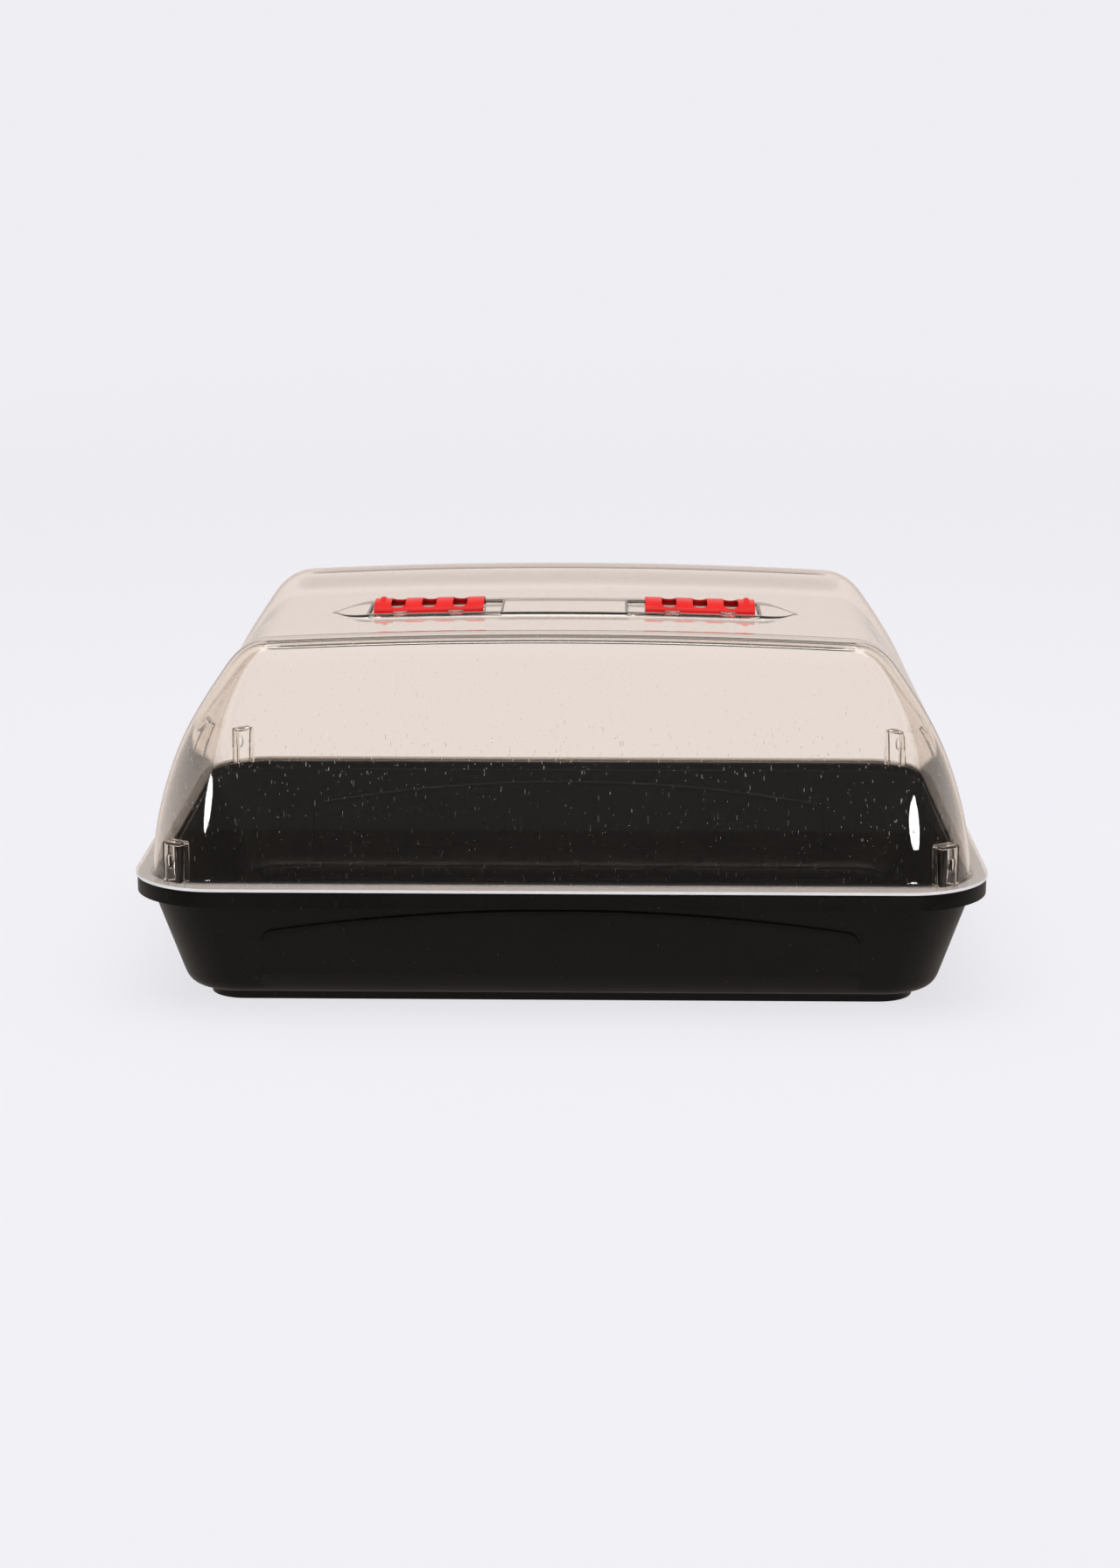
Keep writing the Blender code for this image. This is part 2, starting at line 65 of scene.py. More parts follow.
# Tray
TRAY_WALL = 2.2 * MM
RIM_SIZE = (TRAY_HIGH.x, TRAY_HIGH.y, 58 * MM)
RIM_WIDTH = 9.5 * MM
RIM_ROUND = 2 * MM
SKIRT_DROP = 11 * MM
SEAT_STEP = 1.5 * MM
SEAT_DEPTH = 6 * MM
TRAY_DRAFT = 0.313
LEDGE_HEIGHT = 7 * MM
LEDGE_WIDTH = (14 * MM, 8.6 * MM)
LEDGE_ROUND = 8 * MM
LEDGE_TURN = 5 * MM
FOOT_SLOPE = 2.5 * MM
FLOOR_CORNER = 26 * MM
FLOOR_SIDE_CORNER = 38 * MM
FLOOR_RIB_PLACES = (-175 * MM, -57 * MM, 57 * MM, 175 * MM)
FLOOR_RIB_SIZE = (12 * MM, 250 * MM, 2 * MM)
FLOOR_RIB_EDGE = 0.8 * MM

# Arched panels embossed on the tray's walls: half width, height of the arch's ends and of its crown
PANEL_RISE = 1.1 * MM
PANEL_EDGE = 1.2 * MM
PANEL_CORNER = 9 * MM
PANEL_FADE = (11 * MM, 23 * MM)  # heights between which the panels fade in
PANEL_SHADE_LINE = (0.3 * MM, 1.2 * MM)  # distances from the outline over which its painted shade line fades
PANEL_STEP = 0.8 * MM  # half width of the outline's step in the relief
FRONT_PANEL = (205 * MM, 56 * MM, 73.5 * MM)
END_PANEL = (118 * MM, 61 * MM, 73.5 * MM)

# Dome
DOME_WALL = 2 * MM
FLANGE_TOP = FLANGE_BOTTOM + DOME_WALL
FLANGE_CORNER = 60 * MM
OUTER_SHARE = 0.97  # of the half length or width, beyond which upright faces are the flange's outer edge
UPRIGHT = 0.7  # a face is upright if its normal rises by less than this
BASE_HALF = (283 * MM, 192.4 * MM)
BASE_CORNER = 44 * MM
BASE_FILLET = 3 * MM
LENGTH_LEAN = (10.2 * MM, 51.4 * MM)
WIDTH_LEAN = (12 * MM, 14 * MM)
CORNER_SHRINK = 28 * MM
LEAN_HEIGHT = 160 * MM
TOP_FILLET = (16 * MM, 10 * MM)
CROWN = 5.8 * MM
CROWN_HALF = 212 * MM
VALLEY_DEPTH = 9 * MM
VALLEY_FLAT = 84 * MM
VALLEY_SHOULDER = 145 * MM
SAG_START = 0.5
RIDGE_LEVEL = 253.6 * MM  # middle of a groove along the rounded front and back edges, in the outer face
RIDGE_DEPTH = 1.3 * MM
RIDGE_WIDTH = 0.7 * MM

# Vent platform and its wells
PLATFORM_HEIGHT = 2.5 * MM
PLATFORM_HALF = 31 * MM
PLATFORM_TIP = 167 * MM
PLATFORM_TAPER = 141 * MM
PLATFORM_SLOPE = 3 * MM  # plan width of the platform's outer slope
TIP_HALF = 1.5 * MM
WELL_START = 46.5 * MM
WELL_END = 140 * MM
WELL_HALF = 23.6 * MM
WALL_SLOPE = 0.8 * MM
SLOT_PITCH = 22.4 * MM
SLOT_WIDTH = 11 * MM
SLOT_HALF = 14.5 * MM
FIRST_SLOT = 64.4 * MM
SLOPE_SHARES = (0, 0.15, 0.32, 0.5, 0.68, 0.85, 1)

# Vent sliders
SLIDER_LENGTH = 79.4 * MM
SLIDER_START = 58.4 * MM
SLIDER_HALF = 23 * MM
SLIDER_FOOT = 1.6 * MM
ARCH_HALF = 20 * MM
ARCH_HEIGHT = 8.2 * MM
ARCH_WALL = 1.8 * MM
WINDOW_SIZE = (10.6 * MM, 35 * MM)
WINDOW_CORNER = 4.6 * MM
GRIP_PLACE = 33.8 * MM
GRIP_SIZE = (2.7 * MM, 15 * MM, 2.6 * MM)
GRIP_SINK = 0.5 * MM
SLIDER_EDGE = 0.35 * MM

# Retaining tabs
TAB_SIZE = (11 * MM, 5 * MM, 1.4 * MM)
TAB_OFFSET = 20 * MM
TAB_REACH = 1.8 * MM
TAB_LEVEL = 2.3 * MM
TAB_EDGE = 0.5 * MM

# Corner lugs
LUG_ANGLE = math.radians(57)
LUG_REACH = 47.5 * MM
LUG_DEPTH = 12 * MM
LUG_WIDTH = 15 * MM
LUG_TOP = 118.5 * MM
LUG_WALL = 1.8 * MM
LUG_EDGE = 1.2 * MM
LUG_HOLE = (2.2 * MM, 4.4 * MM)
LUG_COLLAR = (3.3 * MM, 5.7 * MM, 0.7 * MM)  # half width, half height and rise of the rim round the hole
LUG_HOLE_LEVEL = 106 * MM

CENTRE_FLOOR = DOME_CREST - VALLEY_DEPTH

# Camera, and the pale studio
CAMERA_PLACE = (0.03756, -2.12599, 0.61864)
CAMERA_DOWN = 0.2320
CAMERA_LEFT = 0.0193
LENS = 67.82
SOFT_LIGHTS = (
    ("left_soft", (-0.73, -2.5, 0.23), (0.2, 0.32), 2.56),
    ("right_soft", (0.69, -2.5, 0.13), (0.34, 0.34), 4.62),
)
BACKGROUND = (0.863, 0.855, 0.896)
ROOM_LIGHT = 0.15  # of the studio's dark parts, in mirrors and through clear things
ROOM_COLOUR = (1, 0.95, 0.92)
REFLECTED = (0.74, 0.66, 0.62)  # the background as mirrors show it
THROUGH = (0.935, 0.9, 0.925)  # the background as clear things show it
DARK_FRONT = (-0.6, -0.2)  # Y over which the floor goes from dark to pale in mirrors
DARK_TOP = (2.6, 3.6)  # height over which the backdrop goes dark in mirrors
DARK_ABOVE = (1, 1.6)  # and through clear things


# ---- Mesh helpers ----------------


def smooth_step(low, high, value):
    t = min(max((value - low) / (high - low), 0), 1)
    return t * t * (3 - 2 * t)


def mirrored(values):
    """The values and their negatives in rising order, with zero once."""
    return sorted({-v for v in values} | set(values))


def filled(marks, step):
    """The marks in rising order, with more values between them so that none lie further apart than step."""
    marks = sorted(set(marks))
    values = [marks[0]]
    for low, high in zip(marks, marks[1:]):
        count = max(1, math.ceil((high - low) / step - 1e-6))
        values += [low + (high - low) * k / count for k in range(1, count + 1)]
    return values


def row_layout(shares, arc_steps):
    """Rows from front to back: straight ones at the given shares, then arc_steps more round each corner."""
    arcs = [math.pi / 2 * k / arc_steps for k in range(1, arc_steps + 1)]
    back = [(1.0, math.sin(a), math.cos(a)) for a in arcs]
    front = [(-1.0, -math.sin(a), math.cos(a)) for a in reversed(arcs)]
    return front + [(s, 0.0, 1.0) for s in shares] + back


def place(share, row, size):
    """The plan position of a column's share on a row of a rounded rectangle."""
    half_length, half_width, corner = size
    along, sine, cosine = row
    reach = half_length - corner + corner * cosine
    return share * reach, along * (half_width - corner) + sine * corner


def ring_slots(columns, rows):
    """The (column, row) numbers round the layout's edge, in order."""
    last_column, last_row = len(columns) - 1, len(rows) - 1
    front = [(i, 0) for i in range(last_column)]
    right = [(last_column, j) for j in range(last_row)]
    back = [(i, last_row) for i in range(last_column, 0, -1)]
    left = [(0, j) for j in range(last_row, 0, -1)]
    return front + right + back + left


def grown(size, by):
    return size[0] + by, size[1] + by, size[2] + by


def blend(first, second, share):
    return tuple(a + (b - a) * share for a, b in zip(first, second))


def arc_rings(start, end, from_level, to_level, steps, outward):
    """Rings on a quarter arc between two sizes; outward arcs leave start upright, others leave it level."""
    rings = []
    for k in range(1, steps + 1):
        angle = math.pi / 2 * k / steps
        if outward:
            share, rise = 1 - math.cos(angle), math.sin(angle)
        else:
            share, rise = math.sin(angle), 1 - math.cos(angle)
        rings.append((blend(start, end, share), from_level + (to_level - from_level) * rise))
    return rings


def loft(columns, rows, rings, shape, holes=()):
    """An open surface through the rings, closed at the last one by a grid; shape moves each point."""
    mesh = bmesh.new()
    edge = ring_slots(columns, rows)
    previous = None
    for size, level in rings:
        current = []
        for i, j in edge:
            x, y = place(columns[i], rows[j], size)
            current.append(mesh.verts.new(shape(x, y, level, False)))
        if previous:
            for k, vertex in enumerate(current):
                after = (k + 1) % len(current)
                mesh.faces.new((previous[k], previous[after], current[after], vertex))
        previous = current
    size, level = rings[-1]
    grid = dict(zip(edge, previous))
    for j in range(1, len(rows) - 1):
        for i in range(1, len(columns) - 1):
            x, y = place(columns[i], rows[j], size)
            grid[i, j] = mesh.verts.new(shape(x, y, level, True))
    for j in range(len(rows) - 1):
        for i in range(len(columns) - 1):
            if (i, j) not in holes:
                mesh.faces.new((grid[i, j], grid[i + 1, j], grid[i + 1, j + 1], grid[i, j + 1]))
    return mesh


def new_object(name, source):
    """An object from a bmesh, which is freed."""
    mesh = bpy.data.meshes.new(name)
    source.to_mesh(mesh)
    source.free()
    made = bpy.data.objects.new(name, mesh)
    bpy.context.scene.collection.objects.link(made)
    return made


def thicken(item, wall):
    solid = item.modifiers.new("wall", "SOLIDIFY")
    solid.thickness = wall
    solid.offset = -1
    solid.use_even_offset = True


def round_edges(item, width, segments):
    bevel = item.modifiers.new("edges", "BEVEL")
    bevel.width = width
    bevel.segments = segments
    bevel.limit_method = "ANGLE"
    bevel.angle_limit = math.radians(35)
    bevel.use_clamp_overlap = True
    return bevel


def boolean(item, other, operation):
    step = item.modifiers.new(operation.lower(), "BOOLEAN")
    step.operation = operation
    step.solver = "MANIFOLD"
    step.object = other


def finish_mesh(item, material, cutters=(), angle=32):
    """Turns the modifiers' result into the object's own mesh, drops the cutters and shades it smooth."""
    bpy.context.view_layer.update()
    graph = bpy.context.evaluated_depsgraph_get()
    made = bpy.data.meshes.new_from_object(item.evaluated_get(graph))
    item.modifiers.clear()
    item.data = made
    made.materials.clear()
    made.materials.append(material)
    made.shade_smooth()
    made.set_sharp_from_angle(angle=math.radians(angle))
    for cutter in cutters:
        bpy.data.objects.remove(cutter)
    return item


def add_box(mesh, low, high, spot=Matrix.Identity(4)):
    """A box between two corners, moved by a matrix."""
    cube = bmesh.ops.create_cube(mesh, size=1)["verts"]
    for vertex in cube:
        corner = [high[k] if vertex.co[k] > 0 else low[k] for k in range(3)]
        vertex.co = spot @ Vector(corner)
    return cube


# ---- Material helpers ----------------


def join(tree, operation, first, second):
    """A Math node on two values."""
    node = tree.nodes.new("ShaderNodeMath")
    node.operation = operation
    for socket, value in zip(node.inputs, (first, second)):
        if isinstance(value, (int, float)):
            socket.default_value = value
        else:
            tree.links.new(value, socket)
    return node.outputs[0]


def mix_shaders(tree, factor, first, second):
    node = tree.nodes.new("ShaderNodeMixShader")
    for socket, value in zip(node.inputs, (factor, first, second)):
        tree.links.new(value, socket)
    return node.outputs[0]


def slope(tree, value, low, high, first, last):
    """Maps value from low..high to first..last, held at both ends."""
    node = tree.nodes.new("ShaderNodeMapRange")
    for name, number in zip(("From Min", "From Max", "To Min", "To Max"), (low, high, first, last)):
        node.inputs[name].default_value = number
    tree.links.new(value, node.inputs["Value"])
    return node.outputs["Result"]


class Nodes:
    """A material's node tree, with short calls for its nodes."""

    def __init__(self, name):
        self.material = bpy.data.materials.new(name)
        self.material.use_nodes = True
        self.tree = self.material.node_tree
        self.shader = self.tree.nodes["Principled BSDF"]
        coordinates = self.tree.nodes.new("ShaderNodeTexCoord")
        self.spot = coordinates.outputs["Object"]

    def link(self, source, target):
        self.tree.links.new(source, target)

    def mapping(self, scale=(1, 1, 1), turn=(0, 0, 0)):
        node = self.tree.nodes.new("ShaderNodeMapping")
        node.inputs["Scale"].default_value = scale
        node.inputs["Rotation"].default_value = turn
        self.link(self.spot, node.inputs["Vector"])
        return node.outputs["Vector"]

    def noise(self, scale, detail=2.0, roughness=0.5, vector=None):
        node = self.tree.nodes.new("ShaderNodeTexNoise")
        node.inputs["Scale"].default_value = scale
        node.inputs["Detail"].default_value = detail
        node.inputs["Roughness"].default_value = roughness
        self.link(vector or self.spot, node.inputs["Vector"])
        return node.outputs["Fac"]

    def voronoi(self, scale):
        node = self.tree.nodes.new("ShaderNodeTexVoronoi")
        node.inputs["Scale"].default_value = scale
        self.link(self.spot, node.inputs["Vector"])
        return node

    def ramp(self, value, low, high, first=0.0, last=1.0):
        """Maps value from low..high to first..last, held at both ends."""
        return slope(self.tree, value, low, high, first, last)

    def math(self, operation, first, second):
        return join(self.tree, operation, first, second)

    def mix(self, factor, first, second):
        """A colour between two, each fixed or from a node."""
        node = self.tree.nodes.new("ShaderNodeMix")
        node.data_type = "RGBA"
        colours = [socket for socket in node.inputs if socket.type == "RGBA"]
        self.link(factor, node.inputs[0])
        for socket, value in zip(colours, (first, second)):
            if isinstance(value, tuple):
                socket.default_value = (*value, 1)
            else:
                self.link(value, socket)
        return [socket for socket in node.outputs if socket.type == "RGBA"][0]

    def bump(self, height, distance, strength=1.0, after=None):
        node = self.tree.nodes.new("ShaderNodeBump")
        node.inputs["Distance"].default_value = distance
        node.inputs["Strength"].default_value = strength
        self.link(height, node.inputs["Height"])
        if after:
            self.link(after, node.inputs["Normal"])
        return node.outputs["Normal"]

    def set(self, **values):
        """Sets the shader's sockets: a number or a colour directly, anything else by a link."""
        for name, value in values.items():
            socket = self.shader.inputs[name.replace("_", " ")]
            if isinstance(value, (int, float)):
                socket.default_value = value
            elif isinstance(value, tuple):
                socket.default_value = (*value, 1)
            else:
                self.link(value, socket)


def scratch_lines(nodes, scale, turn, low):
    """Short thin scratches: the peaks of a noise drawn out into needles along one direction."""
    stretched = nodes.mapping(scale=(1, 0.6, 0.07), turn=turn)
    return nodes.ramp(nodes.noise(scale, 1, 0.5, stretched), low, low + 0.03)


def specks(nodes, scale, radius, share):
    """Dots of dust: the middles of some cells."""
    cells = nodes.voronoi(scale)
    dot = nodes.ramp(cells.outputs["Distance"], radius * 0.6, radius, 1, 0)
    parted = nodes.tree.nodes.new("ShaderNodeSeparateColor")
    nodes.link(cells.outputs["Color"], parted.inputs["Color"])
    chosen = nodes.ramp(parted.outputs[0], share, share + 0.01, 1, 0)
    return nodes.math("MULTIPLY", dot, chosen)


def panel_inside(nodes):
    """How far a point lies inside the outline of the arched panel on the front or back wall.

    The second value fades the panel out towards the ledge and the floor.
    """
    half, low, crown = FRONT_PANEL
    spot = nodes.tree.nodes.new("ShaderNodeSeparateXYZ")
    nodes.link(nodes.spot, spot.inputs[0])
    along = nodes.math("ABSOLUTE", spot.outputs["X"], 0)
    side = nodes.math("SUBTRACT", half, along)
    drop = nodes.math("MULTIPLY", nodes.math("MULTIPLY", along, along), (crown - low) / half**2)
    under = nodes.math("SUBTRACT", nodes.math("SUBTRACT", crown, drop), spot.outputs["Z"])
    past = [nodes.math("MAXIMUM", nodes.math("SUBTRACT", PANEL_CORNER, v), 0) for v in (side, under)]
    squares = [nodes.math("MULTIPLY", v, v) for v in past]
    reach = nodes.math("SQRT", nodes.math("ADD", *squares), 0)
    return nodes.math("SUBTRACT", PANEL_CORNER, reach), nodes.ramp(spot.outputs["Z"], *PANEL_FADE)


def black_plastic():
    """Satin moulded black plastic: fine grain, faint scuffs, a little dust and a painted shade line along
    the arched panels' outline.
    """
    nodes = Nodes("black_plastic")
    grain = nodes.noise(1600, 3, 0.6)
    cloud = nodes.noise(22, 4, 0.6)
    scuff = scratch_lines(nodes, 1400, (0.3, 0.5, 0.9), 0.74)
    dust = specks(nodes, 210, 0.09, 0.12)
    marks = nodes.math("MAXIMUM", dust, nodes.math("MULTIPLY", scuff, 0.3))
    tint = nodes.mix(nodes.ramp(cloud, 0.3, 0.7), (0.0036, 0.0030, 0.0023), (0.0056, 0.0048, 0.0037))
    tint = nodes.mix(marks, tint, (0.09, 0.08, 0.07))
    rough = nodes.ramp(cloud, 0.3, 0.7, 0.36, 0.48)
    rough = nodes.math("ADD", rough, nodes.math("MULTIPLY", scuff, 0.15))
    inside, fade = panel_inside(nodes)
    # painted shade: a dark line along the panel's outline, in place of the shade that falls in the step of
    # the relief
    from_line = nodes.math("ABSOLUTE", inside, 0)
    line = nodes.math("MULTIPLY", nodes.ramp(from_line, *PANEL_SHADE_LINE, 0.5, 0), fade)
    tint = nodes.mix(line, tint, (0.0004, 0.0003, 0.0002))
    relief = nodes.bump(grain, 0.00003, 0.5)
    relief = nodes.bump(nodes.noise(45, 2), 0.0003, 0.15, relief)
    step = nodes.math("MULTIPLY", nodes.ramp(inside, -PANEL_STEP, PANEL_STEP), fade)
    relief = nodes.bump(step, PANEL_RISE, 1, relief)
    nodes.set(Base_Color=tint, Roughness=rough, Normal=relief, IOR=1.49, Specular_IOR_Level=0.14)
    return nodes.material


def clear_plastic(name="clear_plastic", clearness=1.0, colour=(1.0, 0.957, 0.905), base_rough=0.01):
    """Clear moulded polystyrene: slightly warm, with fine scratches and specks of dust."""
    nodes = Nodes(name)
    lines = [
        scratch_lines(nodes, 1000, (0.3, 0.5, 0.2), 0.77),
        scratch_lines(nodes, 1100, (0.2, -0.8, -0.3), 0.77),
        scratch_lines(nodes, 1200, (0.1, 1.3, 0.4), 0.77),
        specks(nodes, 260, 0.075, 0.17),
        specks(nodes, 110, 0.05, 0.15),
    ]
    marks = lines[0]
    for line in lines[1:]:
        marks = nodes.math("MAXIMUM", marks, line)
    worn = tuple(0.97 * value for value in colour)
    tint = nodes.mix(marks, colour, worn)
    rough = nodes.ramp(marks, 0, 1, base_rough, 0.36)
    ripple = nodes.bump(nodes.noise(12, 1), 0.0004, 0.08)
    relief = nodes.bump(marks, 0.00008, 0.7, ripple)
    nodes.set(Base_Color=tint, Roughness=rough, Normal=relief, IOR=1.54, Transmission_Weight=clearness)
    return nodes.material


def red_plastic():
    """Glossy moulded red plastic with a faint flow pattern."""
    nodes = Nodes("red_plastic")
    cloud = nodes.noise(60, 3, 0.6, nodes.mapping(scale=(0.4, 1, 1)))
    tint = nodes.mix(nodes.ramp(cloud, 0.3, 0.7), (0.70, 0.006, 0.005), (0.79, 0.010, 0.008))
    scuff = scratch_lines(nodes, 1500, (0.1, 0.2, 0.8), 0.74)
    rough = nodes.math("ADD", nodes.ramp(cloud, 0.3, 0.7, 0.3, 0.4), nodes.math("MULTIPLY", scuff, 0.2))
    relief = nodes.bump(nodes.noise(1400, 2), 0.00002, 0.5)
    nodes.set(Base_Color=tint, Roughness=rough, Normal=relief, IOR=1.5, Specular_IOR_Level=0.3)
    return nodes.material


# ---- Tray ----------------


def tray_rings():
    """From the foot of the skirt over the rim and down the wall to the floor."""
    inside = grown(RIM_SIZE, -RIM_WIDTH)
    seat = RIM_TOP - SEAT_DEPTH
    seat_size = grown(inside, -SEAT_STEP)
    ledge_top = LEDGE_HEIGHT + TRAY_WALL
    depth = seat - ledge_top
    lean = depth * TRAY_DRAFT
    ledge = (seat_size[0] - lean, seat_size[1] - lean, FLOOR_SIDE_CORNER)
    foot = (ledge[0] - LEDGE_WIDTH[0], ledge[1] - LEDGE_WIDTH[1], FLOOR_CORNER)
    shoulder = RIM_TOP - RIM_ROUND
    rings = [(RIM_SIZE, RIM_TOP - SKIRT_DROP), (RIM_SIZE, shoulder)]
    rings += arc_rings(RIM_SIZE, grown(RIM_SIZE, -RIM_ROUND), shoulder, RIM_TOP, 5, True)
    edge = grown(inside, RIM_ROUND)
    rings.append((edge, RIM_TOP))
    rings += arc_rings(edge, inside, RIM_TOP, shoulder, 5, False)
    rings.append((grown(inside, -SEAT_STEP / 4), seat + SEAT_STEP * 1.4))
    rings += arc_rings(grown(inside, -SEAT_STEP / 4), seat_size, seat + SEAT_STEP * 1.4, seat, 4, True)
    steps = 30
    turn = ledge_top + LEDGE_ROUND
    turn_share = (seat - turn) / depth
    for k in range(1, steps + 1):
        share = turn_share * k / steps
        rings.append((blend(seat_size, ledge, share), seat - depth * share))
    above = blend(seat_size, ledge, turn_share)
    for k in range(1, 9):
        t = k / 8
        size = blend(blend(above, ledge, t), blend(ledge, grown(ledge, -LEDGE_TURN), t), t)
        rings.append((size, turn + (ledge_top - turn) * (2 * t - t * t)))
    rings.append((foot, ledge_top))
    rings += arc_rings(foot, grown(foot, -FOOT_SLOPE), ledge_top, TRAY_WALL, 4, False)
    return rings


def arch_share(along, level, panel):
    """From 0 outside an arched panel to 1 inside it."""
    half, low, crown = panel
    arch = low + (crown - low) * (1 - (along / half) ** 2)
    side = half - abs(along)
    under = arch - level
    if side < PANEL_CORNER and under < PANEL_CORNER:
        inside = PANEL_CORNER - math.hypot(PANEL_CORNER - side, PANEL_CORNER - under)
    else:
        inside = min(side, under)
    return smooth_step(0, PANEL_EDGE, inside)


def tray_shape(x, y, level, inner):
    """Lifts the arched panels off the walls, and fades them out on the ledge."""
    fade = smooth_step(*PANEL_FADE, level)
    if inner or level > RIM_TOP - SEAT_DEPTH or fade == 0:
        return x, y, level
    out_y = PANEL_RISE * fade * arch_share(x, level, FRONT_PANEL)
    out_x = PANEL_RISE * fade * arch_share(y, level, END_PANEL)
    if abs(x) < FRONT_PANEL[0]:
        y += math.copysign(out_y, y)
    if abs(y) < END_PANEL[0]:
        x += math.copysign(out_x, x)
    return x, y, level


def panel_lines(half):
    """Places across a panel's edge, where the mesh needs to be finer."""
    return [half - PANEL_EDGE * s for s in (0, 0.25, 0.5, 0.75, 1)] + [half - PANEL_CORNER]


def make_tray(material):
    top = grown(RIM_SIZE, -RIM_WIDTH - SEAT_STEP)
    across = filled([0, *panel_lines(FRONT_PANEL[0]), top[0]], LONG_STEP)
    along = filled([0, *panel_lines(END_PANEL[0]), top[1] - top[2]], SHORT_STEP)
    columns = [x / top[0] for x in mirrored(across)]
    rows = row_layout([y / (top[1] - top[2]) for y in mirrored(along)], 14)
    tray = new_object("tray_body", loft(columns, rows, tray_rings(), tray_shape))
    thicken(tray, TRAY_WALL)
    ribs = floor_ribs()
    boolean(tray, ribs, "UNION")
    return finish_mesh(tray, material, [ribs])


def floor_ribs():
    """Low ribs across the floor."""
    mesh = bmesh.new()
    length, width, height = FLOOR_RIB_SIZE
    for x in FLOOR_RIB_PLACES:
        low = (x - length / 2, -width / 2, TRAY_WALL - SINK)
        add_box(mesh, low, (x + length / 2, width / 2, TRAY_WALL + height))
    ribs = new_object("floor_ribs", mesh)
    round_edges(ribs, FLOOR_RIB_EDGE, 3)
    return ribs


# ---- Dome ----------------


def dome_size(level):
    u = (level - FLANGE_TOP) / LEAN_HEIGHT
    length = BASE_HALF[0] - LENGTH_LEAN[0] * u - LENGTH_LEAN[1] * u * u
    width = BASE_HALF[1] - WIDTH_LEAN[0] * u - WIDTH_LEAN[1] * u * u
    return length, width, BASE_CORNER - CORNER_SHRINK * u


def top_drop(x, y):
    """How far the top lies under its shoulders' middle: crowned along X, with a shallow valley along Y."""
    near = abs(x)
    if abs(y) < PLATFORM_HALF + WALL_SLOPE and WELL_START <= near <= WELL_END:
        share = (near - WELL_START) / (WELL_END - WELL_START)
        fall = (1 - share) * WELL_START**2 + share * WELL_END**2
    else:
        fall = near * near
    valley = 1 - smooth_step(VALLEY_FLAT, VALLEY_SHOULDER, abs(y))
    return CROWN * fall / CROWN_HALF**2 + VALLEY_DEPTH * valley


def platform_half(x):
    past = max(abs(x) - PLATFORM_TAPER, 0) / (PLATFORM_TIP - PLATFORM_TAPER)
    if past > 1:
        return TIP_HALF
    return TIP_HALF + (PLATFORM_HALF - TIP_HALF) * (1 - past * past)


def platform_rise(x, y):
    """The platform's height over the valley, with rounded edges, and its wells."""
    outside = max(abs(x) - PLATFORM_TIP, abs(y) - platform_half(x))
    body = 1 - smooth_step(0, PLATFORM_SLOPE, outside)
    near = abs(x)
    from_well = max(WELL_START - near, near - WELL_END, abs(y) - WELL_HALF)
    well = 1 - smooth_step(0, WALL_SLOPE, from_well)
    fade = 1 - 0.85 * smooth_step(WELL_END, PLATFORM_TIP, near)
    return PLATFORM_HEIGHT * body * (1 - well) * fade


def platform_warp(x, y):
    """Draws the rows of the grid in to the platform's outline near its pointed ends."""
    share = platform_half(x) / PLATFORM_HALF
    if abs(y) <= PLATFORM_HALF + PLATFORM_SLOPE:
        edge = min(abs(y), PLATFORM_HALF) * share + max(abs(y) - PLATFORM_HALF, 0)
        return math.copysign(edge, y)
    reach = smooth_step(VALLEY_FLAT, PLATFORM_HALF + PLATFORM_SLOPE, abs(y))
    pulled = (PLATFORM_HALF + PLATFORM_SLOPE) * (1 - share)
    return math.copysign(abs(y) - pulled * reach, y)


def dome_shape(x, y, level, inner):
    if inner:
        y = platform_warp(x, y)
    share = (level - FLANGE_TOP) / (DOME_CREST - FLANGE_TOP)
    z = level - top_drop(x, y) * smooth_step(SAG_START, 1, share)
    if inner:
        z += platform_rise(x, y)
    return x, y, z


def dome_rings():
    """From the flange's outer edge over the wall and the top's rounded edge."""
    flange = (HALF_LENGTH, HALF_WIDTH, FLANGE_CORNER)
    low = FLANGE_TOP + BASE_FILLET
    base = dome_size(low)
    rings = [(flange, FLANGE_TOP), (grown(base, BASE_FILLET), FLANGE_TOP)]
    rings += arc_rings(grown(base, BASE_FILLET), base, FLANGE_TOP, low, 5, False)
    fillet_start = DOME_CREST - TOP_FILLET[0]
    rings += [(dome_size(level), level) for level in filled([low, fillet_start], SHORT_STEP)[1:]]
    corner = dome_size(DOME_CREST)
    start = dome_size(fillet_start)
    end = (corner[0] - TOP_FILLET[0], corner[1] - TOP_FILLET[1], corner[2] - TOP_FILLET[1])
    before, after = [0.02, 0.06, 0.12, 0.2, 0.3, 0.38], [0.7, 0.78, 0.88, 1]
    for t in before + filled([0.44, 0.64], 0.0125) + after:
        size = blend(blend(start, corner, t), blend(corner, end, t), t)
        rings.append((size, fillet_start + (DOME_CREST - fillet_start) * (2 * t - t * t)))
    return rings


def ridge(x, y, z):
    """Depth of the groove where the front and back panels turn over into the top."""
    length, width, corner = dome_size(RIDGE_LEVEL)
    if abs(y) < width - corner:
        return 0
    below = RIDGE_LEVEL - CROWN * (x / CROWN_HALF) ** 2 - z
    ends = 1 - smooth_step(length - 2 * corner, length - corner, abs(x))
    return RIDGE_DEPTH * math.exp(-((below / RIDGE_WIDTH) ** 2)) * ends


def cut_ridges(dome, count):
    """Moves the outer face in along the ridges; the first count vertices are the outer face's."""
    normals = [v.normal.copy() for v in dome.data.vertices[:count]]
    for vertex, normal in zip(dome.data.vertices[:count], normals):
        vertex.co -= normal * ridge(*vertex.co)


def slot_edges():
    edges = []
    for k in range(3):
        middle = FIRST_SLOT + k * SLOT_PITCH
        edges += [middle - SLOT_WIDTH / 2, middle + SLOT_WIDTH / 2]
    return edges


